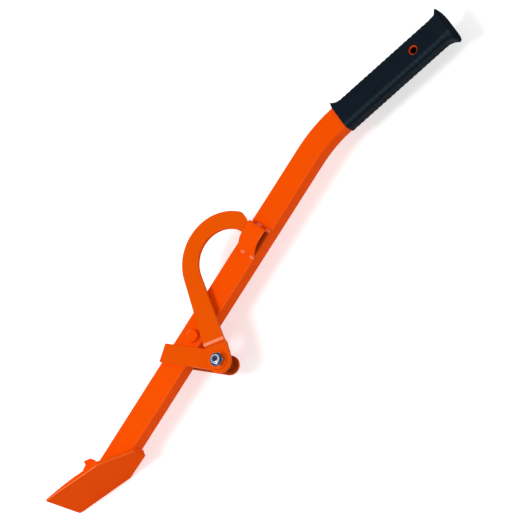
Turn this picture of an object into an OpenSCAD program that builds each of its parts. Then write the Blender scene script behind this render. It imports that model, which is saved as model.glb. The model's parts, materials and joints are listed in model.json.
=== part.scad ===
// Felling lever with a turning hook, lying on its side with the hook's face up.
// +X runs from the tongue's tip to the grip, +Y to the side of the hook's bow and the toe claw,
// +Z out of the face that carries the hook. The origin is under the middle of the lever.

/* [Shaft] */
// Length of the lever, tongue tip to grip end
lever_length = 800; // [760:1:840]
// Width of the tube's section, in the plane of the bend
tube_w = 34; // [30:1:38]
// Depth of the tube's section
tube_d = 22; // [20:1:25]
// Outer corner radius of the section
tube_r = 2.5; // [2.5:0.5:5]
// Wall of the tube
tube_wall = 2; // [1.5:0.25:2.25]
// Place of the bend's virtual corner along the shaft
bend_x = 584.2; // [570:1:600]
// Angle of the bend towards the pivot side
bend_angle = 18; // [12:1:24]
// Centreline radius of the bend
bend_r = 200; // [160:5:240]

/* [Tongue] */
// Length of the tongue plate along its slope
tongue_length = 128; // [121:1:133]
// Slope of the tongue against the shaft
tongue_angle = 24.9; // [22:0.1:28]
// Thickness of the tongue plate
tongue_t = 6; // [5:0.5:8]
// Thickness left at the tip
tongue_tip_t = 2.2; // [1.5:0.1:3]
// Half width at the tip
tip_half_w = 46; // [40:1:50]
// Half width at the heel
heel_half_w = 15; // [14:0.5:18]
// Length of the flared stretch between heel and shoulder
flare_length = 43; // [36:1:50]
// Thickness of the toe claw
claw_t = 12; // [10:1:16]

/* [Hook] */
// Place of the hook's bolt along the shaft
pivot_x = 272; // [269:0.1:275]
// Distance of the bolt from the shaft's centreline
pivot_offset = 58.1; // [56:0.1:60]
// Thickness of the hook plate
hook_t = 5; // [4.5:0.1:6]
// Outer radius of the hook's bow
bow_outer_r = 64.5; // [62:0.5:66]
// Inner radius of the hook's bow
bow_inner_r = 41.5; // [40:0.5:43]
// Step of the joggle that lifts the hook over the stop pin
joggle = 4.2; // [4:0.1:5]
// Diameter of the stop pin
stop_pin_d = 16; // [12:1:17]
// Height that the stop pin stands out of the tube
stop_pin_proud = 6; // [5:0.5:7]

/* [Bracket] */
// Thickness of the bracket's cheeks
cheek_t = 3.5; // [3:0.5:3.5]
// Width of a cheek at its square end
cheek_w = 24.8; // [22:0.2:27]
// Length that a cheek's square end is cut longer on the tongue's side
cheek_slant = 3; // [0:0.5:4]
// Radius of a cheek's ear
ear_r = 12.8; // [12:0.2:14]
// Diameter of the bolt
bolt_d = 10; // [8:1:12]

/* [Keeper] */
// Width of the keeper strap
keeper_w = 28; // [25:0.5:29]
// Length of the keeper along the shaft
keeper_length = 39.5; // [38:0.5:42]
// Height of the keeper's roof over the tube
keeper_h = 13; // [13:0.25:15]
// Thickness of the keeper's sheet
keeper_t = 2.3; // [1.8:0.1:2.3]
// Angle at which the keeper's ramp leaves the tube
keeper_ramp = 39; // [38:1:42]

/* [Grip] */
// Width of the sleeve
grip_w = 38.5; // [37:0.5:41]
// Depth of the sleeve
grip_d = 26.5; // [25:0.5:29]
// Rim that the sleeve's end flares out by
grip_flare = 6.5; // [4:0.5:8]
// Hole through the tube for hanging the lever up
hang_hole_d = 10; // [8:1:12]

/* [Hidden] */
$fn = 96;
// Radial play of a running fit, and a length past anything that is cut.
run = 0.05;
beyond = 500;
paint = [0.93, 0.33, 0.01];
paint_dark = [0.85, 0.29, 0.01];
zinc = [0.75, 0.78, 0.82];
rubber = [0.06, 0.09, 0.13];

// The tube: straight up to the bend, an arc, then the straight stretch inside the grip.
tube_half = tube_w / 2;
face_z = tube_d / 2;
bend_tangent = bend_r * tan(bend_angle / 2);
bend_start_x = bend_x - bend_tangent;

// The tongue's underside starts at the tip and runs down to the heel.
tip_at = [-2.7, 30.75];
tip_corner_r = 4;
taper_length = 58;
shoulder_s = tongue_length - flare_length;

// The grip, measured along its own axis from the bend's virtual corner.
grip_start = bend_tangent;
grip_end = (lever_length + tip_at[0] - bend_x - sin(bend_angle) * (grip_w / 2 + grip_flare)) / cos(bend_angle);
grip_corner = 7;
grip_core_w = grip_w / 2 - grip_corner;
grip_core_d = grip_d / 2 - grip_corner;
flare_run = 20;
cap_t = 5;
corner_steps = 5;
bend_steps = 9;
hang_hole_s = 161;

// The hook's outline: bow centre, the directions of the stem's two edges, and the pointed end.
bow_centre = [383.6, 8.9];
outer_edge_dir = 54.4;
inner_edge_dir = 59.3;
outer_edge_offset = 12.7;
eye_r = 16.6;
eye_hole_r = 7 + run;
pivot = [pivot_x, -pivot_offset];
corner_dir = 18.5;
foot_shoulder = [296.3, -53.2];
foot_heel_dir = -38;
joggle_dir = 52;
joggle_foot_s = 19.4;
joggle_bend_s = 26.4;
tip_point = [[442.4, 21], [436.2, 10], [433, -4.5]];
tip_sweep_r = 168;
tip_sweep_dirs = [18.6, 25];

// Heights of the stack on the bolt, from the tube's mid-plane.
cheek_top = face_z + cheek_t;
foot_back = cheek_top + 0.3;
stem_back = foot_back + joggle;
stem_top = stem_back + hook_t;
bush_top = foot_back + hook_t + 0.3;
thrust_t = 1.8;
thrust_r = 12;
washer_t = 1.8;
washer_r = 10;
nut_h = 6;
nut_collar_h = 2.6;
nut_collar_r = 7.2;
nut_flats = 17;
head_h = 6.4;
bolt_tip_z = bush_top + thrust_t + nut_h + nut_collar_h + 0.4;
thread_chamfer = 1;
bolt_hole_r = bolt_d / 2 + 0.2;
bush_bore_r = bolt_d / 2 + run;
bush_r = 7;
spacer_r = 8.5;

// The cheeks run from the bolt across the tube.
cheek_end = [238.2, 20];
cheek_length = norm(cheek_end - pivot);
cheek_dir = atan2(cheek_end[1] - pivot[1], cheek_end[0] - pivot[0]);
stop_pin_at = [277.8, -3.2];

// The keeper on the shaft: its middle, its turn, its flat foot and its bend and fold.
keeper_at = [423.2, -1.2];
keeper_turn = 1.5;
keeper_foot = 2.7;
keeper_bend_r = 24;
keeper_fold_r = 3;
keeper_tacks = [-12, 3.4];
tip_top = face_z + keeper_h - keeper_t - 0.8;
tip_slope_end = keeper_w / 2 + 1.5;
tip_slope_start = tip_slope_end + 16;
weld_r = 2.4;
bead_r = 4;
claw_bead_r = 2.6;

// The row's origin lies under the middle of the lever's box.
grip_low_y = -grip_end * sin(bend_angle) - (grip_w / 2 + grip_flare) * cos(bend_angle);
bow_high_y = bow_centre[1] + bow_outer_r;
row_shift = [-lever_length / 2 - tip_at[0], -(grip_low_y + bow_high_y) / 2, tip_half_w];

function polar(r, a) = [r * cos(a), r * sin(a)];

// The direction in which a section's corner starts, for the quadrant that it lies in.
function corner_start(corner) = atan2(corner[1], corner[0]) - 45;

// Points along a circle round a centre, both ends included.
function arc(centre, r, from, to, steps) =
    [for (i = [0:steps]) centre + polar(r, from + (to - from) * i / steps)];

// The tube's section, wide in x and deep in y, grown by g: each corner is an arc in short steps.
function section_points(g) =
    [for (corner = [[1, 1], [-1, 1], [-1, -1], [1, -1]])
        each arc([corner[0] * (tube_half - tube_r), corner[1] * (face_z - tube_r)], tube_r + g,
                 corner_start(corner), corner_start(corner) + 90, corner_steps)];

module tube_section(g = 0) {
    polygon(section_points(g));
}

// Stands a section across X and runs it along the shaft.
module along_x(from, to) {
    translate([from, 0, 0]) rotate([90, 0, 90]) linear_extrude(to - from) children();
}

module in_tongue() {
    translate([tip_at[0], tip_at[1], 0]) rotate([0, 0, -tongue_angle]) children();
}

module in_grip() {
    translate([bend_x, 0, 0]) rotate([0, 0, -bend_angle]) children();
}

module in_keeper() {
    translate([keeper_at[0], keeper_at[1], face_z]) rotate([0, 0, keeper_turn]) children();
}

module on_bolt(z = 0) {
    translate([pivot[0], pivot[1], z]) children();
}

// All that lies on the toe side of the tongue's upper face.
module under_tongue_top() {
    in_tongue() translate([-beyond, tongue_t - beyond, -beyond]) cube([2 * beyond, beyond, 2 * beyond]);
}

// The shaft's straight stretch as a full bar, to trim beads against.
module shaft_bar() {
    along_x(0, bend_start_x) tube_section();
}

// Stations along the shaft's centreline, each [x, y, turn].
function shaft_stations(from, grip_to) = concat(
    [[from, 0, 0]],
    [for (i = [0:bend_steps]) let (turn = bend_angle * i / bend_steps)
        [bend_start_x + bend_r * sin(turn), bend_r * (cos(turn) - 1), turn]],
    [[bend_x + grip_to * cos(bend_angle), -grip_to * sin(bend_angle), bend_angle]]);

// The shaft as a full bar of the section grown by g, swept round the bend.
module shaft_path(g, from, grip_to) {
    section = section_points(g);
    stations = shaft_stations(from, grip_to);
    n = len(section);
    last = len(stations) - 1;
    polyhedron(
        points = [for (at = stations, p = section)
            [at[0] + p[0] * sin(at[2]), at[1] + p[0] * cos(at[2]), p[1]]],
        faces = concat(
            [[for (i = [0:n - 1]) i], [for (i = [n - 1:-1:0]) last * n + i]],
            [for (j = [0:last - 1], i = [0:n - 1])
                [j * n + i, (j + 1) * n + i, (j + 1) * n + (i + 1) % n, j * n + (i + 1) % n]]));
}

// The tube is sawn off along the tongue, and drilled for the stop pin and for hanging up.
module shaft_tube() {
    rough_start = 20;
    color(paint) difference() {
        shaft_path(0, rough_start, grip_end - cap_t);
        shaft_path(-tube_wall, rough_start - 10, grip_end);
        under_tongue_top();
        translate([stop_pin_at[0], stop_pin_at[1], -tube_d])
            cylinder(r = stop_pin_d / 2 + run, h = 2 * tube_d);
        in_grip() translate([hang_hole_s, 0, -tube_d]) cylinder(d = hang_hole_d, h = 2 * tube_d);
    }
}

// The plate's plan, from the tip at x = 0 to the heel.
module tongue_plan() {
    c = tip_half_w - tip_corner_r;
    shoulder_half_w = tip_half_w - 1;
    polygon([[0, -c], [tip_corner_r, -tip_half_w],
             [shoulder_s, -shoulder_half_w], [tongue_length, -heel_half_w],
             [tongue_length, heel_half_w], [shoulder_s, shoulder_half_w],
             [tip_corner_r, tip_half_w], [0, c]]);
    for (y = [-c, c]) translate([tip_corner_r, y]) circle(tip_corner_r);
}

// The plate's side: flat below, thinned in a curve above towards the tip.
module tongue_side() {
    steps = 8;
    taper = [for (i = [steps:-1:0])
        [taper_length * i / steps, tongue_tip_t + (tongue_t - tongue_tip_t) * sin(90 * i / steps)]];
    polygon(concat([[-1, 0], [tongue_length + 1, 0], [tongue_length + 1, tongue_t]], taper,
                   [[-1, tongue_tip_t]]));
}

module tongue_plate() {
    color(paint_dark) in_tongue() intersection() {
        translate([0, tongue_t, 0]) rotate([90, 0, 0]) linear_extrude(tongue_t) tongue_plan();
        linear_extrude(2 * tip_half_w, center = true) tongue_side();
    }
}

// Beads laid along and across the tube where it stands on the tongue.
module tongue_weld() {
    rise = tan(tongue_angle);
    heel_x = tip_at[0] + tongue_length * cos(tongue_angle) + tongue_t * sin(tongue_angle);
    heel_y = tip_at[1] - tongue_length * sin(tongue_angle) + tongue_t * cos(tongue_angle);
    low = [heel_x + (heel_y + tube_half) / rise, -tube_half];
    short = 1.4;
    slope = tube_w / sin(tongue_angle) - short;
    past = 3;
    color(paint_dark) difference() {
        union() {
            for (z = [-1, 1]) translate([low[0], low[1], z * face_z])
                rotate([0, 0, 180 - tongue_angle]) rotate([0, 90, 0]) translate([0, 0, -past])
                    cylinder(r = bead_r, h = slope + past);
            translate([low[0], low[1], -face_z]) cylinder(r = bead_r - 0.5, h = tube_d);
        }
        shaft_bar();
        under_tongue_top();
    }
}

// A single tooth that bites into the stem, on the tube's narrow side.
module toe_claw() {
    color(paint) translate([0, 0, -claw_t / 2]) linear_extrude(claw_t)
        polygon([[44, tube_half], [52.8, 32.6], [60, 33.5], [62.6, 38.1],
                 [64.3, 37.6], [71.3, 32], [72, tube_half]]);
}

module claw_weld() {
    from = 54;
    length = 15;
    color(paint) difference() {
        for (z = [-1, 1]) translate([from, tube_half, z * claw_t / 2]) {
            sphere(claw_bead_r);
            rotate([0, 90, 0]) cylinder(r = claw_bead_r, h = length);
            translate([length, 0, 0]) sphere(claw_bead_r);
        }
        shaft_bar();
        translate([0, 0, -claw_t / 2]) cube([beyond, beyond, claw_t]);
    }
}

module stop_pin() {
    far_proud = 1;
    edge = 0.5;
    plain = far_proud + tube_d + stop_pin_proud - edge;
    color(paint) translate([stop_pin_at[0], stop_pin_at[1], -face_z - far_proud]) {
        cylinder(d = stop_pin_d, h = plain);
        translate([0, 0, plain]) cylinder(d1 = stop_pin_d, d2 = stop_pin_d - 2 * edge, h = edge);
    }
}

// The pin is welded round its end on the far side of the tube.
module stop_pin_weld() {
    r = stop_pin_d / 2;
    color(paint_dark) translate([stop_pin_at[0], stop_pin_at[1], -face_z]) rotate_extrude()
        polygon([[r, 0], [r + 3, 0], [r + 2.4, -1], [r + 0.8, -1.6],
                 [r - 1.5, -1.7], [r - 1.5, -1], [r, -1]]);
}

module cheek() {
    difference() {
        union() {
            circle(ear_r);
            polygon([[0, -ear_r], [cheek_length, -cheek_w / 2], [cheek_length + cheek_slant, cheek_w / 2],
                     [0, ear_r]]);
        }
        circle(bolt_hole_r);
    }
}

module near_cheek() {
    color(paint) on_bolt(face_z) rotate([0, 0, cheek_dir]) linear_extrude(cheek_t) cheek();
}

module far_cheek() {
    color(paint) on_bolt(-face_z - cheek_t) rotate([0, 0, cheek_dir]) linear_extrude(cheek_t) cheek();
}

// Beads in the corners between the cheeks and the tube's two narrow sides.
module cheek_welds() {
    leg = 4;
    color(paint_dark) for (side = [-1, 1], z = [-1, 1]) {
        mid_x = pivot[0] + (side * tube_half - pivot[1]) / tan(cheek_dir) + (side > 0 ? -3 : 0);
        half = side > 0 ? 5 : 9;
        difference() {
            translate([mid_x - half, side * tube_half, z * face_z]) {
                sphere(leg);
                rotate([0, 90, 0]) cylinder(r = leg, h = 2 * half);
                translate([2 * half, 0, 0]) sphere(leg);
            }
            shaft_bar();
            translate([0, -beyond, z > 0 ? face_z : -face_z - beyond]) cube([beyond, 2 * beyond, beyond]);
        }
    }
}

// A spanner hexagon, turned as the nut is tightened.
module hexagon(flats) {
    tightened = 6;
    rotate(tightened) circle(d = flats / cos(30), $fn = 6);
}

module pivot_bolt() {
    under_head = -cheek_top - washer_t;
    color(zinc) on_bolt() {
        translate([0, 0, under_head - head_h]) linear_extrude(head_h) hexagon(nut_flats);
        translate([0, 0, under_head]) cylinder(d = bolt_d, h = bolt_tip_z - thread_chamfer - under_head);
        translate([0, 0, bolt_tip_z - thread_chamfer])
            cylinder(d1 = bolt_d, d2 = bolt_d - 2 * thread_chamfer, h = thread_chamfer);
    }
}

module ring(outer, inner, h) {
    difference() {
        cylinder(r = outer, h = h);
        translate([0, 0, -1]) cylinder(r = inner, h = h + 2);
    }
}

module head_washer() {
    color(zinc) on_bolt(-cheek_top - washer_t) ring(washer_r, bolt_hole_r, washer_t);
}

module spacer_tube() {
    color(paint_dark) on_bolt(-face_z) ring(spacer_r, bolt_hole_r, tube_d);
}

module hook_bush() {
    color(zinc) on_bolt(cheek_top) ring(bush_r, bush_bore_r, bush_top - cheek_top);
}

module thrust_washer() {
    color(paint) on_bolt(bush_top) ring(thrust_r, bolt_hole_r, thrust_t);
}

// The nut's corners are turned off in a cone on both faces, and a round collar above grips the thread.
module lock_nut() {
    corners = nut_flats / cos(30) + 0.5;
    turned = 1.2;
    color(zinc) on_bolt(bush_top + thrust_t) difference() {
        union() {
            intersection() {
                linear_extrude(nut_h) hexagon(nut_flats);
                union() {
                    cylinder(d1 = nut_flats + 0.4, d2 = corners, h = turned);
                    translate([0, 0, turned]) cylinder(d = corners, h = nut_h - 2 * turned);
                    translate([0, 0, nut_h - turned]) cylinder(d1 = corners, d2 = nut_flats - 0.6, h = turned);
                }
            }
            cylinder(r = nut_collar_r, h = nut_h + nut_collar_h - turned);
            translate([0, 0, nut_h + nut_collar_h - turned])
                cylinder(r1 = nut_collar_r, r2 = nut_collar_r - turned, h = turned);
        }
        translate([0, 0, -1]) cylinder(r = bush_bore_r, h = nut_h + nut_collar_h + 2);
    }
}

// The hook's plan, clockwise: round the eye, up the stem, over the bow to the point and back inside.
module hook_plan() {
    eye_leave = outer_edge_dir + 90 - acos(outer_edge_offset / eye_r);
    difference() {
        polygon(concat(arc(pivot, eye_r, foot_heel_dir, eye_leave - 360, 44),
                       arc(bow_centre, bow_outer_r, outer_edge_dir + 90, corner_dir, 64),
                       tip_point,
                       arc(pivot, tip_sweep_r, tip_sweep_dirs[0], tip_sweep_dirs[1], 5),
                       arc(bow_centre, bow_inner_r, corner_dir, inner_edge_dir + 90, 56),
                       [foot_shoulder]));
        translate(pivot) circle(eye_hole_r);
    }
}

// The hook's side, along the stem from the bolt: the foot, the joggle and the lifted stem.
module hook_side() {
    foot_end = -30;
    eased = [0.6, 1.1, 0.35];
    polygon([[foot_end, foot_back], [joggle_foot_s, foot_back], [joggle_bend_s, stem_back],
             [beyond, stem_back], [beyond, stem_top], [joggle_bend_s - eased[0], stem_top],
             [joggle_bend_s - eased[0] - eased[1], stem_top - eased[2]],
             [joggle_foot_s - eased[0], foot_back + hook_t], [foot_end, foot_back + hook_t]]);
}

// All that is ground off the point's top, so that it slips under the keeper.
module over_hook_point() {
    in_keeper() rotate([90, 0, 90]) linear_extrude(2 * keeper_length, center = true)
        polygon([[-beyond, tip_top - face_z], [tip_slope_end, tip_top - face_z],
                 [tip_slope_start, stem_top - face_z], [tip_slope_start, beyond], [-beyond, beyond]]);
}

module turning_hook() {
    color(paint) difference() {
        intersection() {
            linear_extrude(2 * stem_top) hook_plan();
            translate([pivot[0], pivot[1], 0]) rotate([0, 0, joggle_dir]) rotate([90, 0, 0])
                linear_extrude(beyond, center = true) hook_side();
        }
        over_hook_point();
    }
}

// The keeper's side: a flat foot, a ramp that bends over into the roof, and a folded end.
module keeper_side() {
    t = keeper_t;
    bend_z = keeper_h - t - keeper_bend_r;
    bend_s = keeper_foot + keeper_bend_r * sin(keeper_ramp)
        + (bend_z + keeper_bend_r * cos(keeper_ramp)) / tan(keeper_ramp);
    bend = [bend_s, bend_z];
    fold = [keeper_length - keeper_fold_r, keeper_h - keeper_fold_r];
    polygon(concat([[0, 0], [0, t], [keeper_foot - t * tan(keeper_ramp / 2), t]],
                   arc(bend, keeper_bend_r + t, 90 + keeper_ramp, 90, 8),
                   arc(fold, keeper_fold_r, 90, 0, 5),
                   [[keeper_length, 0], [keeper_length - t, 0]],
                   arc(fold, keeper_fold_r - t, 0, 90, 2),
                   arc(bend, keeper_bend_r, 90, 90 + keeper_ramp, 8),
                   [[keeper_foot, 0]]));
}

module keeper_strap() {
    color(paint) in_keeper() translate([-keeper_length / 2, keeper_w / 2, 0]) rotate([90, 0, 0])
        linear_extrude(keeper_w) keeper_side();
}

// Two tacks at each end hold the keeper.
module keeper_welds() {
    half_l = keeper_length / 2;
    color(paint) in_keeper() difference() {
        for (x = [-half_l, half_l], y = keeper_tacks) translate([x, y, 0]) sphere(weld_r);
        translate([-half_l, -keeper_w, -1]) cube([keeper_length, 2 * keeper_w, keeper_h]);
        translate([-beyond, -beyond, -beyond]) cube([2 * beyond, 2 * beyond, beyond]);
    }
}

// The sleeve's side as [radius, station]: plain, then flared in a hollow curve to the rim.
module sleeve_side() {
    rim = 3;
    edge = 1.2;
    steps = 6;
    hollow = 2.4;
    rim_r = grip_corner + grip_flare;
    flare_from = grip_end - rim - flare_run;
    flare = [for (i = [0:steps])
        [grip_corner + grip_flare * pow(i / steps, hollow), flare_from + flare_run * i / steps]];
    polygon(concat([[0, grip_start], [grip_corner - edge, grip_start], [grip_corner, grip_start + edge]],
                   flare,
                   [[rim_r, grip_end - edge], [rim_r - edge, grip_end], [0, grip_end]]));
}

module sleeve_body() {
    for (y = [-1, 1], z = [-1, 1]) translate([0, y * grip_core_w, z * grip_core_d])
        rotate([0, 90, 0]) rotate_extrude() sleeve_side();
    for (z = [-1, 1]) translate([0, grip_core_w, z * grip_core_d]) rotate([90, 0, 0])
        linear_extrude(2 * grip_core_w) mirror([0, z > 0 ? 0 : 1]) rotate(90) mirror([0, 1]) sleeve_side();
    for (y = [-1, 1]) translate([0, y * grip_core_w, -grip_core_d])
        linear_extrude(2 * grip_core_d) mirror([0, y > 0 ? 0 : 1]) rotate(90) mirror([0, 1]) sleeve_side();
    translate([grip_start, -grip_core_w, -grip_core_d])
        cube([grip_end - grip_start, 2 * grip_core_w, 2 * grip_core_d]);
}

// The lip that keeps the fingers from slipping off the sleeve's low end.
module finger_lip() {
    lip = 6;
    translate([grip_start, grip_w / 2 - 1, 0]) linear_extrude(grip_d - 10, center = true)
        polygon([[0, 0], [0.6, lip + 0.6], [2, lip + 1], [5, lip - 1.6], [9, lip - 3.6], [14, 1], [14, 0]]);
}

module grip_sleeve() {
    color(rubber) in_grip() difference() {
        union() {
            sleeve_body();
            finger_lip();
        }
        along_x(grip_start - 1, grip_end - cap_t) tube_section(run);
        translate([hang_hole_s, 0, -grip_d]) cylinder(d = hang_hole_d + 3, h = 2 * grip_d);
    }
}

translate(row_shift) {
    shaft_tube();
    tongue_plate();
    tongue_weld();
    toe_claw();
    claw_weld();
    stop_pin();
    stop_pin_weld();
    near_cheek();
    far_cheek();
    cheek_welds();
    pivot_bolt();
    head_washer();
    spacer_tube();
    hook_bush();
    turning_hook();
    thrust_washer();
    lock_nut();
    keeper_strap();
    keeper_welds();
    grip_sleeve();
}
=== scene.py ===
import json
import math

import bmesh
import bpy
from mathutils import Matrix, Vector


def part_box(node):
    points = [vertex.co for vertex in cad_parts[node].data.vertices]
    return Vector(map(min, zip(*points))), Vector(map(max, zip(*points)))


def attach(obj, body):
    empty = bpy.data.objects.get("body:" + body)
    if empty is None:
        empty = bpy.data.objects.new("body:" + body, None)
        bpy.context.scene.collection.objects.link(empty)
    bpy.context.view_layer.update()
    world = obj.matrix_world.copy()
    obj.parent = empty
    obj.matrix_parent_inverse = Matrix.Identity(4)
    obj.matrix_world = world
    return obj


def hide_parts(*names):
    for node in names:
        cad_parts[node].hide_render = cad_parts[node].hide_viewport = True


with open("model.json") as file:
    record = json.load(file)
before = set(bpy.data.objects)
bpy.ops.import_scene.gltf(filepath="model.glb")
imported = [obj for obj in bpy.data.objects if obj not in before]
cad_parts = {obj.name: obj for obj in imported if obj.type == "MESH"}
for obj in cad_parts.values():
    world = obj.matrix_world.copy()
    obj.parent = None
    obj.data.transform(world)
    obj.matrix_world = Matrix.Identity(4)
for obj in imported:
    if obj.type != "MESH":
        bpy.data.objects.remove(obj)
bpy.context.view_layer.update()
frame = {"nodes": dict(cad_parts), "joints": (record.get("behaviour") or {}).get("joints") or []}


# Camera
# The lever lies on its side and is seen from above its pivot side, with the grip at the upper right,
# from so far off that the view is nearly parallel.
picture_px = 528
px_per_metre = 779
view_distance = 6.0
looked_at = Vector((0.0056, -0.0054, 0.0237))
right = Vector((0.5355, -0.7145, -0.4507)).normalized()
towards_viewer = right.cross(Vector((0.8418, 0.4940, 0.2166))).normalized()
up = towards_viewer.cross(right)

lens = bpy.data.cameras.new("camera")
lens.sensor_width = 36
lens.lens = lens.sensor_width * view_distance * px_per_metre / picture_px
lens.clip_end = 50
camera = bpy.data.objects.new("camera", lens)
camera.matrix_world = Matrix((right, up, towards_viewer)).transposed().to_4x4()
camera.location = looked_at + view_distance * towards_viewer
bpy.context.scene.collection.objects.link(camera)
bpy.context.scene.camera = camera
bpy.context.scene.view_settings.view_transform = "Standard"


# Floor and light
# A pale floor under a white room. The room lights softly from all round, one round lamp almost straight
# above shades the faces, and a small one that only shows in gloss gives the paint its thin highlights.
class Value:
    """A socket of a node tree. Sums, differences and products of values add Math nodes."""

    def __init__(self, nodes, socket):
        self.nodes = nodes
        self.socket = socket

    def other(self, name):
        """Another output of the same node."""
        return Value(self.nodes, self.socket.node.outputs[name])

    def math(self, operation, *values):
        return self.nodes.add("ShaderNodeMath", {"operation": operation}, dict(enumerate(values)))

    def __add__(self, other):
        return self.math("ADD", self, other)

    def __sub__(self, other):
        return self.math("SUBTRACT", self, other)

    def __rsub__(self, other):
        return self.math("SUBTRACT", other, self)

    def __mul__(self, other):
        return self.math("MULTIPLY", self, other)

    __radd__ = __add__
    __rmul__ = __mul__

    def at_most(self, other):
        return self.math("MINIMUM", self, other)

    def at_least(self, other):
        return self.math("MAXIMUM", self, other)

    def from_0_to_1(self):
        return self.at_least(0.0).at_most(1.0)


class Nodes:
    """A node tree that is being built."""

    def __init__(self, tree):
        self.tree = tree
        tree.nodes.clear()

    def add(self, kind, settings=None, inputs=None, out=0):
        """Adds a node, with its settings made first, then its inputs, and gives one output."""
        node = self.tree.nodes.new(kind)
        for name, setting in (settings or {}).items():
            if name == "stops":
                ramp = node.color_ramp.elements
                while len(ramp) < len(setting):
                    ramp.new(0.5)
                for element, (place, colour) in zip(ramp, setting):
                    element.position = place
                    element.color = colour
            else:
                setattr(node, name, setting)
        for key, value in (inputs or {}).items():
            if isinstance(value, Value):
                self.tree.links.new(value.socket, node.inputs[key])
            else:
                node.inputs[key].default_value = value
        return Value(self, node.outputs[out]) if len(node.outputs) else node


def seen_directly(nodes):
    """1 for what the camera sees, straight, in gloss or through glass, and 0 for other light."""
    straight = nodes.add("ShaderNodeLightPath", out="Is Camera Ray")
    glossy = nodes.add("ShaderNodeLightPath", out="Is Glossy Ray")
    through = nodes.add("ShaderNodeLightPath", out="Is Transmission Ray")
    return straight.at_least(glossy).at_least(through)


def new_material(name):
    material = bpy.data.materials.new(name)
    material.use_nodes = True
    return material, Nodes(material.node_tree)


room_light = 0.62
room = bpy.data.worlds.new("room")
room.use_nodes = True
bpy.context.scene.world = room
nodes = Nodes(room.node_tree)
strength = room_light + (1 - room_light) * seen_directly(nodes)
white = nodes.add("ShaderNodeBackground", inputs={"Color": (1, 1, 1, 1), "Strength": strength})
nodes.add("ShaderNodeOutputWorld", inputs={"Surface": white})

floor_half = 9.0
floor_gap = 0.0004
floor_colour = (0.9, 0.9, 0.9, 1)
floor_lift = 0.42
floor_mesh = bpy.data.meshes.new("floor")
floor_mesh.from_pydata([(x * floor_half, y * floor_half, -floor_gap)
                        for x, y in ((-1, -1), (1, -1), (1, 1), (-1, 1))], [], [(0, 1, 2, 3)])
floor_paper, nodes = new_material("floor_paper")
matt = nodes.add("ShaderNodeBsdfDiffuse", inputs={"Color": floor_colour})
lift_strength = floor_lift * seen_directly(nodes)
lift = nodes.add("ShaderNodeEmission", inputs={"Color": (1, 1, 1, 1), "Strength": lift_strength})
lit = nodes.add("ShaderNodeAddShader", inputs={0: matt, 1: lift})
nodes.add("ShaderNodeOutputMaterial", inputs={"Surface": lit})
floor_mesh.materials.append(floor_paper)
floor = bpy.data.objects.new("floor", floor_mesh)
bpy.context.scene.collection.objects.link(floor)


def studio_lamp(name, towards, distance, long, wide, power, gloss_only=False):
    """A soft lamp that shines at the lever's middle."""
    data = bpy.data.lights.new(name, "AREA")
    data.shape = "ELLIPSE"
    data.size = long
    data.size_y = wide
    data.energy = power
    lamp = bpy.data.objects.new(name, data)
    direction = Vector(towards).normalized()
    across = direction.cross(Vector((1, 0, 0))).normalized()
    lamp.matrix_world = Matrix((across.cross(direction), across, direction)).transposed().to_4x4()
    lamp.location = looked_at + distance * direction
    lamp.visible_diffuse = not gloss_only
    bpy.context.scene.collection.objects.link(lamp)


studio_lamp("high_lamp", (-0.32, 0.10, 0.94), 3.0, 1.0, 1.0, 36)
studio_lamp("glint_lamp", (-0.39, 0.08, 0.917), 3.0, 0.4, 0.4, 120, gloss_only=True)


# Shaft
# A steel tube of rounded box section, bent once, sawn off along the tongue and drilled for the stop pin
# and for hanging up, then powder-coated orange with everything that is welded to it.
bolt_at = (272.0, -58.1)
shaft_half_wide, shaft_half_deep = 17.0, 11.0
paint_reflection = 0.01


def in_metres(x, y, z=0.0):
    """A point given in millimetres: along the shaft from the tongue's tip, across it, and up."""
    bolt_x, bolt_y, _ = frame["joints"][0]["pos_m"]
    low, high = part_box("tongue_plate")
    origin = Vector((bolt_x, bolt_y, (low.z + high.z) / 2)) - Vector((*bolt_at, 0.0)) / 1000
    return origin + Vector((x, y, z)) / 1000


def from_0_to_1(number):
    return min(1.0, max(0.0, number))


def inside_box(nodes, place, low, high, blend):
    """1 inside a box's length and width and above its floor, 0 outside, with a soft edge along the sides."""
    inside = None
    for axis in range(2):
        along = nodes.add("ShaderNodeSeparateXYZ", inputs={0: place}, out=axis)
        from_low, from_high = (along - low[axis]) * (1 / blend), (high[axis] - along) * (1 / blend)
        side = from_low.at_most(from_high).from_0_to_1()
        inside = side if inside is None else inside * side
    height = nodes.add("ShaderNodeSeparateXYZ", inputs={0: place}, out=2)
    floor_steepness = 4000.0
    return inside * ((height - low[2]) * floor_steepness).from_0_to_1()


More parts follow.
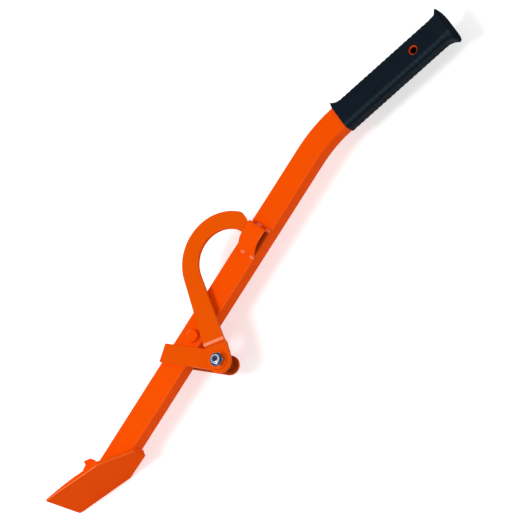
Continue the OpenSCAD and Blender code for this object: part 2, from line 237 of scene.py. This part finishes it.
def orange_paint(name, colour, gloss=0.17, shaded_box=None, reflection=paint_reflection):
    """Powder coat, a little uneven, with the waviness of orange peel. A pale painted highlight is mixed in
    along some corners, and a near-black painted shade in gaps, on undersides and inside a shaded box."""
    material, nodes = new_material(name)
    place = nodes.add("ShaderNodeTexCoord", out="Object")
    clouds = nodes.add("ShaderNodeTexNoise", inputs={"Vector": place, "Scale": 28.0, "Detail": 4.0})
    flow = nodes.add("ShaderNodeTexNoise", inputs={"Vector": place, "Scale": 170.0, "Detail": 2.0})
    peel = nodes.add("ShaderNodeTexNoise", inputs={"Vector": place, "Scale": 900.0, "Detail": 2.0})
    thin = [0.955 * part for part in colour]
    deep = [min(1.0, 1.045 * part) for part in colour]
    tone = nodes.add("ShaderNodeMix", {"data_type": "RGBA"},
                     {0: 0.7 * clouds + 0.3 * flow, 6: (*thin, 1), 7: (*deep, 1)}, out=2)
    thin_paint = nodes.add("ShaderNodeAttribute", {"attribute_name": "thin_paint"}, out=2)
    shade_amount = nodes.add("ShaderNodeAttribute", {"attribute_name": "bare_inside"}, out=2)
    in_shade = 0.93 * inside_box(nodes, place, *shaded_box) if shaded_box else 0.0
    # Painted highlight: pale orange on the corners marked in the mesh.
    tone = nodes.add("ShaderNodeMix", {"data_type": "RGBA"},
                     {0: thin_paint * (0.55 + 0.5 * flow), 6: tone, 7: (1.0, 0.36, 0.17, 1)}, out=2)
    # Painted shade: near-black red in gaps, on undersides and in the shaded box.
    tone = nodes.add("ShaderNodeMix", {"data_type": "RGBA"},
                     {0: shade_amount.at_least(in_shade), 6: tone, 7: (0.030, 0.003, 0.001, 1)}, out=2)
    waves = nodes.add("ShaderNodeBump", inputs={"Strength": 0.25, "Distance": 0.0002, "Height": flow})
    skin = nodes.add("ShaderNodeBump",
                     inputs={"Strength": 0.35, "Distance": 0.00003, "Height": peel, "Normal": waves})
    paint = nodes.add("ShaderNodeBsdfPrincipled", inputs={
        "Base Color": tone, "Roughness": gloss - 0.03 + 0.06 * clouds, "Normal": skin,
        "Specular IOR Level": reflection})
    nodes.add("ShaderNodeOutputMaterial", inputs={"Surface": paint})
    return material


def highlight_strength(face):
    """How strong the painted highlight is on a corner's long strips: on those that look up and towards -y,
    tilted between about 6 and 50 degrees.
    """
    around = sum(edge.calc_length() for edge in face.edges)
    strip = face.calc_area() < 0.0125 * around ** 2
    if not strip or face.normal.y > -0.04 or face.normal.z < 0.35:
        return 0.0
    tilt = math.degrees(math.acos(min(1.0, face.normal.z)))
    return from_0_to_1((tilt - 6) / 8) * from_0_to_1((50 - tilt) / 18)


def made_from(node, name, edge, body="lever", material=None, sharp=25, segments=3,
              before=None, shade_amount=None, thin=0.0):
    """A piece with a node's shape, its flats whole and its edges rounded, that stands for the node."""
    mesh = frame["nodes"][node].data.copy()
    mesh.name = name
    mesh.materials.clear()
    work = bmesh.new()
    work.from_mesh(mesh)
    bmesh.ops.remove_doubles(work, verts=work.verts, dist=2e-6)
    bmesh.ops.dissolve_limit(work, angle_limit=math.radians(0.6), verts=work.verts, edges=work.edges)
    if before:
        before(work)
    edges = [e for e in work.edges
             if len(e.link_faces) == 2 and e.calc_face_angle() > math.radians(sharp)]
    bmesh.ops.bevel(work, geom=edges, offset=edge, segments=segments, profile=0.5, affect="EDGES",
                    clamp_overlap=True)
    # Per-face amounts of painted highlight (the thin argument) and painted shade (the bare argument) are
    # stored for the paint.
    thin_paint = work.faces.layers.float.new("thin_paint")
    bare_inside = work.faces.layers.float.new("bare_inside")
    for face in work.faces:
        face.smooth = True
        face[thin_paint] = thin(face) if callable(thin) else thin * highlight_strength(face)
        face[bare_inside] = shade_amount(face) if shade_amount else 0.0
    work.to_mesh(mesh)
    work.free()
    mesh.set_sharp_from_angle(angle=math.radians(50))
    piece = bpy.data.objects.new(name, mesh)
    bpy.context.scene.collection.objects.link(piece)
    even = piece.modifiers.new("even_shading", "WEIGHTED_NORMAL")
    even.keep_sharp = True
    mesh.materials.append(material)
    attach(piece, body)
    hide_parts(node)


shaft_orange = (0.93, 0.085, 0.0004)
shaft_paint = orange_paint("shaft_paint", shaft_orange)
# A box on the shaft's face under the keeper, painted nearly black as painted shade.
keeper_shade = (in_metres(408.0, -11.5, 10.6), in_metres(439.0, 30.0, 11.0), 0.0035)


def highlight_below_the_hook(face):
    """The shaft's corner gets its painted highlight in full between the tongue and the bracket, and only
    faintly above.
    """
    along = (face.calc_center_median() - in_metres(0, 0)).x
    highlight_to, fading_over = 0.290, 0.03
    return (0.1 + 0.8 * from_0_to_1((highlight_to - along) / fading_over)) * highlight_strength(face)


def shade_inside_the_tube(face):
    """The tube's inner walls are painted almost black, as painted shade."""
    from_middle = face.calc_center_median().z - in_metres(0, 0).z
    return 0.97 if face.normal.z * from_middle < -0.004 else 0.0


# The shaft gets a painted highlight along its corner and painted shade inside the tube and under the keeper.
made_from("shaft_tube", "shaft", 0.0005, thin=highlight_below_the_hook, shade_amount=shade_inside_the_tube,
          material=orange_paint("shaft_paint_by_the_keeper", shaft_orange, shaded_box=keeper_shade))


# Tongue
# A flared plate of tool steel, forged thinner towards its straight tip, that the shaft is welded on to
# at a slope. It goes into the felling cut and bears on the stem.
tongue_orange = (0.91, 0.082, 0.0004)
tongue_paint = orange_paint("tongue_paint", tongue_orange, reflection=0.002)
# The tongue's corners get the full painted highlight.
made_from("tongue_plate", "tongue", 0.0010, material=tongue_paint, thin=1.0)


# Welds at the tongue
# Beads laid by hand along both sides of the shaft's sloping end and across its heel: overlapping drops of
# steel, under the same paint.
def weld_tree():
    """Drops of uneven size along a line of edges."""
    tree = bpy.data.node_groups.new("weld_bead", "GeometryNodeTree")
    for name, kind in (("Line", "Geometry"), ("Pitch", "Float"), ("Drop radius", "Float"), ("Seed", "Int"),
                       ("Paint", "Material")):
        tree.interface.new_socket(name, in_out="INPUT", socket_type="NodeSocket" + kind)
    tree.interface.new_socket("Bead", in_out="OUTPUT", socket_type="NodeSocketGeometry")
    nodes = Nodes(tree)
    given = nodes.add("NodeGroupInput")
    line = nodes.add("GeometryNodeMeshToCurve", inputs={"Mesh": given.other("Line")})
    points = nodes.add("GeometryNodeCurveToPoints", {"mode": "LENGTH"},
                       {"Curve": line, "Length": given.other("Pitch")})
    drop = nodes.add("GeometryNodeMeshUVSphere",
                     inputs={"Segments": 16, "Rings": 10, "Radius": given.other("Drop radius")})
    size = nodes.add("FunctionNodeRandomValue", {"data_type": "FLOAT"},
                     {2: 0.78, 3: 1.12, "Seed": given.other("Seed")}, out=1)
    drops = nodes.add("GeometryNodeInstanceOnPoints",
                      inputs={"Points": points, "Instance": drop, "Scale": size})
    real = nodes.add("GeometryNodeRealizeInstances", inputs={"Geometry": drops})
    painted = nodes.add("GeometryNodeSetMaterial",
                        inputs={"Geometry": real, "Material": given.other("Paint")})
    nodes.add("NodeGroupOutput", inputs={"Bead": painted})
    return tree


weld_bead = weld_tree()
bead_voxel = 0.00045


def weld(name, node, lines, radius, paint, pitch=1.7, seed=1):
    """A weld along lines of points in the shaft's millimetres, that stands for a node."""
    mesh = bpy.data.meshes.new(name + "_line")
    places, edges = [], []
    for line in lines:
        first = len(places)
        places += [in_metres(*point) for point in line]
        edges += [(first + k, first + k + 1) for k in range(len(line) - 1)]
    mesh.from_pydata(places, edges, [])
    path = bpy.data.objects.new(name + "_path", mesh)
    bpy.context.scene.collection.objects.link(path)
    drops = path.modifiers.new("drops", "NODES")
    drops.node_group = weld_bead
    settings = {"Pitch": pitch / 1000, "Drop radius": radius / 1000, "Seed": seed, "Paint": paint}
    for socket in weld_bead.interface.items_tree:
        if socket.name in settings:
            drops[socket.identifier] = settings[socket.name]
    skin = path.modifiers.new("skin", "REMESH")
    skin.mode = "VOXEL"
    skin.voxel_size = bead_voxel
    soft = path.modifiers.new("soft", "SMOOTH")
    soft.iterations = 3
    soft.factor = 0.5
    bpy.context.view_layer.update()
    finished = path.evaluated_get(bpy.context.evaluated_depsgraph_get())
    bead_mesh = bpy.data.meshes.new_from_object(finished)
    bead_mesh.name = name
    bead_mesh.materials.clear()
    bead_mesh.materials.append(paint)
    for face in bead_mesh.polygons:
        face.use_smooth = True
        face.material_index = 0
    bpy.data.objects.remove(path)
    bead = bpy.data.objects.new(name, bead_mesh)
    bpy.context.scene.collection.objects.link(bead)
    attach(bead, "lever")
    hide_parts(node)


heel = (114.6, -17.2)
toe = (44.0, 15.7)
weld("tongue_beads", "tongue_weld",
     [[(*toe, face), (*heel, face)] for face in (-shaft_half_deep, shaft_half_deep)]
     + [[(*heel, -shaft_half_deep), (*heel, shaft_half_deep)]],
     3.3, shaft_paint, pitch=2.2, seed=4)


# Toe claw
# A tooth cut from thick plate and welded to the shaft's narrow side, close behind the tongue.
made_from("toe_claw", "claw", 0.0007, material=shaft_paint)
claw_low, claw_high, claw_foot, claw_half_deep = 54.5, 68.5, 17.2, 5.6
weld("claw_beads", "claw_weld",
     [[(claw_low, claw_foot, side), (claw_high, claw_foot, side)]
      for side in (-claw_half_deep, claw_half_deep)],
     2.0, shaft_paint, seed=7)


# Stop pin
# A turned steel pin set through the shaft. It stands out of the near face beside the hook's stem.
def pin_rim_highlight(face):
    """A pale painted highlight on the pin's rim, for a short way on the side away from the hook."""
    away_from_the_hook = Vector((0.20, 0.98, 0.0))
    outwards = Vector((face.normal.x, face.normal.y, 0.0))
    on_rim = 0.2 < face.normal.z < 0.99
    return 1.0 if on_rim and outwards.dot(away_from_the_hook) > 0.88 * outwards.length else 0.0


made_from("stop_pin", "pin", 0.0010, material=shaft_paint, thin=pin_rim_highlight)
pin_x, pin_y, pin_weld_radius, pin_weld_z = 277.8, -3.2, 9.2, -11.3
far_ring = [(pin_x + pin_weld_radius * math.cos(k * math.pi / 18),
             pin_y + pin_weld_radius * math.sin(k * math.pi / 18), pin_weld_z) for k in range(37)]
weld("pin_bead", "stop_pin_weld", [far_ring], 1.35, shaft_paint, pitch=1.6, seed=9)


# Bracket
# Two straps of sheet steel across the shaft's faces, round at one end, with a spacer tube between their
# ears for the hook's bolt.
strap_orange = (0.83, 0.089, 0.0005)
strap_paint = orange_paint("strap_paint", strap_orange)


def shade_between_the_ears(amount, all_over=False):
    """Painted shade on faces that look into the gap between the two straps."""
    middle = in_metres(0, 0).z

    def shade_amount(face):
        inwards = face.normal.z * (middle - face.calc_center_median().z) > 0.005
        return amount if inwards or all_over else 0.0
    return shade_amount


# The straps get painted shade in the gap between them and a half-strength painted highlight on their corners;
# the spacer is painted shade all over.
made_from("near_cheek", "near_strap", 0.0005, material=strap_paint, shade_amount=shade_between_the_ears(0.8), thin=0.5)
made_from("far_cheek", "far_strap", 0.0005, material=strap_paint, shade_amount=shade_between_the_ears(0.45), thin=0.5)
made_from("spacer_tube", "spacer", 0.0004, material=strap_paint, shade_amount=shade_between_the_ears(0.72, True))
strap_welds = ((254.2, -shaft_half_wide, 9), (236.5, shaft_half_wide, 5))
weld("strap_beads", "cheek_welds",
     [[(middle - half_long, side, face), (middle + half_long, side, face)]
      for middle, side, half_long in strap_welds for face in (-shaft_half_deep, shaft_half_deep)],
     2.5, strap_paint, seed=12)
# The painted washer gets a painted highlight on its corners.
made_from("thrust_washer", "painted_washer", 0.0005, material=strap_paint, thin=0.7)


# Hook
# Cut from 5 mm plate, with a joggle pressed in between its foot and its stem. It swings on the bolt and
# its point is ground thin on top, to slip under the keeper.
hook_orange = (0.83, 0.092, 0.0006)
hook_paint = orange_paint("hook_paint", hook_orange)
plate = 5.0
foot_back = 14.8
joggle_dir = math.radians(52)
joggle_lift = 4.2
joggle_sides = [(18.0, 0.0), (19.7, 0.0), (20.3, -0.55), (21.0, -0.55), (21.3, 0.6), (23.2, 3.0),
                (27.2, joggle_lift), (29.0, joggle_lift)]
fold_width = 0.9
slices = 40


def lift(along):
    """How far the plate is lifted at a distance from the bolt: a crease, a steep ramp and an easy one."""
    samples = 8
    total = 0.0
    for k in range(samples + 1):
        at = along + fold_width * (k / samples - 0.5)
        for (low, low_lift), (high, high_lift) in zip(joggle_sides, joggle_sides[1:]):
            if at <= high or high == joggle_sides[-1][0]:
                part = from_0_to_1((at - low) / (high - low))
                total += low_lift + (high_lift - low_lift) * part
                break
    return total / (samples + 1)


def press_the_joggle(work):
    """Slices the plate across the joggle and moves its two faces to the rounded shape that a press leaves."""
    bolt = in_metres(*bolt_at)
    across = Vector((math.cos(joggle_dir), math.sin(joggle_dir), 0.0))
    first, last = joggle_sides[0][0], joggle_sides[-1][0]
    for k in range(slices + 1):
        at = first + (last - first) * k / slices
        bmesh.ops.bisect_plane(work, geom=work.verts[:] + work.edges[:] + work.faces[:], dist=1e-7,
                               plane_co=bolt + across * at / 1000, plane_no=across)
    for vert in work.verts:
        along = (vert.co - bolt).dot(across) * 1000
        if first - 0.1 < along < last + 0.1:
            height = (vert.co.z - bolt.z) * 1000
            ramp_start, ramp_long = 19.4, 7.0
            straight = joggle_lift * from_0_to_1((along - ramp_start) / ramp_long)
            top = height > foot_back + straight + plate / 2
            back = foot_back + max(0.0, lift(along))
            vert.co.z = bolt.z + (foot_back + lift(along) + plate if top else back) / 1000


# The hook gets a faint painted highlight on its corners.
made_from("turning_hook", "hook", 0.0006, body="hook", material=hook_paint, before=press_the_joggle,
          thin=0.35)


# Keeper
# A strip of sheet steel folded into a low ramp and roof, and tacked to the shaft at its corners.
# The keeper gets a painted highlight on its corners and painted shade on its underside.
made_from("keeper_strap", "keeper", 0.0007, material=shaft_paint, thin=0.9,
          shade_amount=lambda face: 0.9 if face.normal.z < -0.4 else 0.0)
# The tacks are a paler orange than the rest of the paint, a painted highlight.
tack_highlight_paint = orange_paint("tack_highlight_paint", (1.0, 0.23, 0.10), gloss=0.12)
keeper_at = Vector((423.2, -1.2))
keeper_turn = math.radians(1.5)
tack_half_long, tack_z = 1.4, 12.2


def keeper_point(x, y):
    """A point of the keeper, whose middle is keeper_at, in the shaft's millimetres."""
    return keeper_at + Vector((x * math.cos(keeper_turn) - y * math.sin(keeper_turn),
                               x * math.sin(keeper_turn) + y * math.cos(keeper_turn)))


tacks = [[(*keeper_point(x, y + step), tack_z) for step in (-tack_half_long, tack_half_long)]
         for x in (-19.75, 19.75) for y in (-12.0, 3.4)]
weld("keeper_beads", "keeper_welds", tacks, 2.5, tack_highlight_paint, pitch=1.4, seed=15)


# Bolt, nut and washers
# An M10 hexagon bolt from the far side, with a plain washer, a bush for the hook's eye and a lock nut,
# all bright zinc plate.
def zinc_plate(name):
    """Bright zinc: a metal with a blue cast, faintly clouded and finely brushed."""
    material, nodes = new_material(name)
    place = nodes.add("ShaderNodeTexCoord", out="Object")
    clouds = nodes.add("ShaderNodeTexNoise", inputs={"Vector": place, "Scale": 260.0, "Detail": 4.0})
    grain = nodes.add("ShaderNodeTexNoise", inputs={"Vector": place, "Scale": 2600.0, "Detail": 2.0})
    tone = nodes.add("ShaderNodeMix", {"data_type": "RGBA"},
                     {0: clouds, 6: (0.42, 0.50, 0.66, 1), 7: (0.80, 0.84, 0.90, 1)}, out=2)
    skin = nodes.add("ShaderNodeBump", inputs={"Strength": 0.3, "Distance": 0.00002, "Height": grain})
    zinc = nodes.add("ShaderNodeBsdfPrincipled", inputs={
        "Base Color": tone, "Metallic": 1.0, "Roughness": 0.16 + 0.18 * clouds, "Normal": skin})
    nodes.add("ShaderNodeOutputMaterial", inputs={"Surface": zinc})
    return material


def nut_plate(name):
    """The same zinc with painted reflections: above the hexagon, rings dark and bright by distance from the
    axis (a dark bolt end, bright rims and dark between), and a mostly bright tone below.
    """
    material, nodes = new_material(name)
    place = nodes.add("ShaderNodeTexCoord", out="Object")
    centre = in_metres(*bolt_at)
    hexagon_top = 0.0270
    clouds = nodes.add("ShaderNodeTexNoise", inputs={"Vector": place, "Scale": 420.0, "Detail": 4.0})
    grain = nodes.add("ShaderNodeTexNoise", inputs={"Vector": place, "Scale": 2600.0, "Detail": 2.0})
    from_axis = nodes.add("ShaderNodeVectorMath", {"operation": "SUBTRACT"}, {0: place, 1: centre})
    flat = nodes.add("ShaderNodeVectorMath", {"operation": "MULTIPLY"}, {0: from_axis, 1: (1, 1, 0)})
    radius = nodes.add("ShaderNodeVectorMath", {"operation": "LENGTH"}, {0: flat}, out=1)
    height = nodes.add("ShaderNodeSeparateXYZ", inputs={0: from_axis}, out=2)
    # Painted reflections: dark and bright rings by distance from the bolt's axis.
    shade = nodes.add("ShaderNodeValToRGB", {"stops": [
        (0.0, (0.02, 0.02, 0.02, 1)), (0.36, (0.02, 0.02, 0.02, 1)), (0.43, (0.9, 0.9, 0.9, 1)),
        (0.50, (0.10, 0.10, 0.10, 1)), (0.535, (0.8, 0.8, 0.8, 1)), (0.585, (0.9, 0.9, 0.9, 1)),
        (0.62, (0.0, 0.0, 0.0, 1)), (1.0, (0.1, 0.1, 0.1, 1))]}, {0: radius * 100.0})
    on_top = ((height - hexagon_top) * 2500.0).from_0_to_1()
    bright = (1 - on_top) * 0.85 + on_top * nodes.add("ShaderNodeRGBToBW", inputs={0: shade})
    dark_reflection, bright_reflection = (0.010, 0.015, 0.045, 1), (0.62, 0.68, 0.80, 1)
    tone = nodes.add("ShaderNodeMix", {"data_type": "RGBA"},
                     {0: bright * (0.75 + 0.5 * clouds), 6: dark_reflection, 7: bright_reflection}, out=2)
    skin = nodes.add("ShaderNodeBump", inputs={"Strength": 0.3, "Distance": 0.00002, "Height": grain})
    plated = nodes.add("ShaderNodeBsdfPrincipled", inputs={
        "Base Color": tone, "Metallic": 1.0, "Roughness": 0.16 + 0.18 * clouds, "Normal": skin})
    nodes.add("ShaderNodeOutputMaterial", inputs={"Surface": plated})
    return material


zinc = zinc_plate("zinc")
for node, name in (("head_washer", "plain_washer"), ("hook_bush", "bush")):
    made_from(node, name, 0.0002, material=zinc, segments=2)

nut_zinc = nut_plate("nut_zinc")


def draw_in_the_collar(work):
    """The collar that grips the thread is rolled in, narrower than the hexagon's flats."""
    centre = in_metres(*bolt_at)
    collar_from, collar_radius = 0.02785, 0.0059
    for vert in work.verts:
        out = vert.co - centre
        radius = math.hypot(out.x, out.y)
        if out.z > collar_from and 0.0060 < radius < 0.0078:
            narrower = collar_radius / radius
            vert.co.x = centre.x + out.x * narrower
            vert.co.y = centre.y + out.y * narrower


made_from("pivot_bolt", "bolt", 0.0003, material=nut_zinc)
made_from("lock_nut", "nut", 0.0003, material=nut_zinc, before=draw_in_the_collar)


# Grip
# A moulded rubber sleeve pushed on to the shaft: rounded box section, a pointed finger lip below and a
# flared end above, fine ribs along two corners and a hole for hanging the lever up.
def moulded_rubber(name):
    """Blue-black rubber with the fine grain of its mould, a greyer painted highlight along one corner and a
    near-black painted shade on its end."""
    material, nodes = new_material(name)
    place = nodes.add("ShaderNodeTexCoord", out="Object")
    held = nodes.add("ShaderNodeAttribute", {"attribute_name": "held"}, out=2)
    end_face = nodes.add("ShaderNodeAttribute", {"attribute_name": "end_face"}, out=2)
    clouds = nodes.add("ShaderNodeTexNoise", inputs={"Vector": place, "Scale": 45.0, "Detail": 4.0})
    grain = nodes.add("ShaderNodeTexNoise", inputs={"Vector": place, "Scale": 1400.0, "Detail": 3.0})
    tone = nodes.add("ShaderNodeMix", {"data_type": "RGBA"},
                     {0: clouds, 6: (0.0030, 0.0072, 0.0125, 1), 7: (0.0052, 0.0115, 0.0190, 1)}, out=2)
    # Painted highlight: greyer along the marked corner.
    tone = nodes.add("ShaderNodeMix", {"data_type": "RGBA"},
                     {0: held * (0.4 + 0.8 * clouds), 6: tone, 7: (0.019, 0.034, 0.045, 1)}, out=2)
    # Painted shade: near-black on the end face.
    tone = nodes.add("ShaderNodeMix", {"data_type": "RGBA"},
                     {0: 0.6 * end_face, 6: tone, 7: (0.0008, 0.0012, 0.0016, 1)}, out=2)
    skin = nodes.add("ShaderNodeBump", inputs={"Strength": 0.5, "Distance": 0.00006, "Height": grain})
    rubber = nodes.add("ShaderNodeBsdfPrincipled", inputs={
        "Base Color": tone, "Roughness": (0.42 + 0.1 * clouds + 0.5 * end_face).at_most(0.98),
        "Normal": skin, "Specular IOR Level": 0.02})
    nodes.add("ShaderNodeOutputMaterial", inputs={"Surface": rubber})
    return material


rubber = moulded_rubber("rubber")
bend_at = 584.2
grip_turn = math.radians(-18)
low_end, far_end = 31.7, 215.6
half_width, half_depth, corner = 19.2, 13.2, 7.0
rib_pitch = 7.6
rib_depth = 0.62
rim_round = 1.4
lip_out, far_lip_out, flare_out = 7.0, 6.2, 6.3
hole_at, hole_radius = 161, 6.5
quarters = ((1, 1), (-1, 1), (-1, -1), (1, -1))


def groove(u):
    """How deep the ribs' grooves are at a station, from 0 on a rib to 1."""
    return 1 - abs(math.sin(math.pi * (u - low_end) / rib_pitch)) ** 0.5


def grip_point(u, w, z):
    """A point of the sleeve in metres: along its own straight part from the bend, across it, and up."""
    return in_metres(bend_at + u * math.cos(grip_turn) - w * math.sin(grip_turn),
                     u * math.sin(grip_turn) + w * math.cos(grip_turn), z)


def grip_ring(u, inset):
    """The sleeve's outline at a station: a rounded box with the ribs, the finger lip and the flare added."""
    from_low, from_far = u - low_end, far_end - u
    lip = lip_out * max(0.0, 1 - from_low / 17) ** 2.2
    far_lip = far_lip_out * from_0_to_1((5.6 - from_far) / 4.4)
    flare = flare_out * from_0_to_1((23 - from_far) / 20) ** 2.4
    ring = []
    steps, flats = 9, 7
    for quarter, (side_w, side_z) in enumerate(quarters):
        for k in range(steps + 1):
            turn = math.pi / 2 * (quarter + k / steps)
            n_w, n_z = math.cos(turn), math.sin(turn)
            ring.append((side_w * (half_width - corner), side_z * (half_depth - corner), n_w, n_z))
        (w0, z0, n_w, n_z), (next_w, next_z) = ring[-1], quarters[(quarter + 1) % 4]
        for k in range(1, flats):
            part = k / flats
            ring.append((w0 + (next_w * (half_width - corner) - w0) * part,
                         z0 + (next_z * (half_depth - corner) - z0) * part, n_w, n_z))
    wave = rib_depth * groove(u) * from_0_to_1(from_low / 6) * from_0_to_1((from_far - 6) / 6)
    points = []
    for core_w, core_z, n_w, n_z in ring:
        strong = 0.25 + 0.75 * min(1.0, 1.5 * abs(n_w))
        round_by = corner - wave * strong - inset
        out_w = max(lip, far_lip) if n_w > 0 else flare
        w = core_w + (round_by + out_w) * n_w
        z = core_z + (round_by + 0.9 * flare) * n_z
        lean = 1.4 * max(0.0, w - 17) / 9 * max(0.0, 1 - from_low / 3)
        recede = 1.7 * max(0.0, -w / 25.5 - 0.35) ** 1.6 / 0.5 * max(0.0, 1 - from_far / 14)
        points.append(grip_point(u + lean - recede, w, z))
    return points


def closed_skin(name, rings):
    """An object from rings of points, each joined to the next, with a face across either end."""
    work = bmesh.new()
    rings = [[work.verts.new(point) for point in ring] for ring in rings]
    around = len(rings[0])
    for low, high in zip(rings, rings[1:]):
        for k in range(around):
            work.faces.new((low[k], low[(k + 1) % around], high[(k + 1) % around], high[k]))
    work.faces.new(list(reversed(rings[0])))
    work.faces.new(rings[-1])
    bmesh.ops.recalc_face_normals(work, faces=work.faces)
    mesh = bpy.data.meshes.new(name)
    work.to_mesh(mesh)
    work.free()
    solid = bpy.data.objects.new(name, mesh)
    bpy.context.scene.collection.objects.link(solid)
    return solid


def whole_sleeve():
    """The sleeve's rings, before the shaft's space and the hole are taken out of it."""
    stations = [(low_end, 0.8), (low_end + 0.25, 0.3)]
    u = low_end + 0.8
    while u < far_end - rim_round:
        stations.append((u, 0.0))
        u += 0.95 if far_end - u > 8 else 0.5
    for k in range(6):
        turn = math.pi / 2 * k / 5
        stations.append((far_end - rim_round * (1 - math.sin(turn)), rim_round * (1 - math.cos(turn))))
    rings = [grip_ring(u, inset) for u, inset in stations]
    rim = rings[-1]
    middle = sum(rim, Vector()) / len(rim)
    for scale in (0.66, 0.33):
        rings.append([middle + (point - middle) * scale for point in rim])
    return rings


def shaft_space():
    """Rings round the space that the shaft fills, a little clear of it, which ends inside the sleeve."""
    clearance, round_by, solid_end = 0.05, 2.5, 4.9
    core_w = shaft_half_wide + clearance - round_by
    core_z = shaft_half_deep + clearance - round_by
    outline = []
    for quarter, (side_w, side_z) in enumerate(quarters):
        for k in range(7):
            turn = math.pi / 2 * (quarter + k / 6)
            outline.append((side_w * core_w + round_by * math.cos(turn),
                            side_z * core_z + round_by * math.sin(turn)))
    return [[grip_point(u, w, z) for w, z in outline] for u in (low_end - 2, far_end - solid_end)]


def hanging_hole():
    """Rings round the hole, from beyond one face of the sleeve to beyond the other."""
    turns = [k * math.pi / 24 for k in range(48)]
    outline = [(hole_at + hole_radius * math.cos(turn), hole_radius * math.sin(turn)) for turn in turns]
    return [[grip_point(u, w, z) for u, w in outline] for z in (-22, 22)]


def mark_highlight_and_end_shade(mesh):
    """Marks where the painted highlight goes along one corner and where the painted shade goes on the face at
    the sleeve's far end.
    """
    held = mesh.attributes.new("held", "FLOAT", "POINT")
    end_face = mesh.attributes.new("end_face", "FLOAT", "POINT")
    start = grip_point(0, 0, 0)
    along_grip = (grip_point(1, 0, 0) - start) * 1000
    across_grip = (grip_point(0, 1, 0) - start) * 1000
    highlight_at, highlight_over = 28, 30
    for vert in mesh.vertices:
        out = (vert.co - start) * 1000
        u, w, z = out.dot(along_grip), -out.dot(across_grip), out.z
        off = abs(math.degrees(math.atan2(w - half_width + corner, z - half_depth + corner)) - highlight_at)
        if w > half_width - corner and z > half_depth - corner and off < highlight_over:
            held.data[vert.index].value = (1 - off / highlight_over) * (1 - 0.6 * groove(u))
        end_face.data[vert.index].value = from_0_to_1((vert.normal.dot(along_grip) - 0.75) / 0.2)


sleeve = closed_skin("grip", whole_sleeve())
tools = [closed_skin("shaft_space", shaft_space()), closed_skin("hanging_hole", hanging_hole())]
for tool in tools:
    cut = sleeve.modifiers.new("cut", "BOOLEAN")
    cut.operation = "DIFFERENCE"
    cut.solver = "EXACT"
    cut.object = tool
bpy.context.view_layer.update()
cut_mesh = bpy.data.meshes.new_from_object(sleeve.evaluated_get(bpy.context.evaluated_depsgraph_get()))
sleeve.modifiers.clear()
for tool in tools:
    bpy.data.objects.remove(tool)
sleeve.data = cut_mesh
cut_mesh.materials.clear()
cut_mesh.materials.append(rubber)
for face in cut_mesh.polygons:
    face.use_smooth = True
    face.material_index = 0
cut_mesh.set_sharp_from_angle(angle=math.radians(40))
mark_highlight_and_end_shade(cut_mesh)
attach(sleeve, "lever")
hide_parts("grip_sleeve")
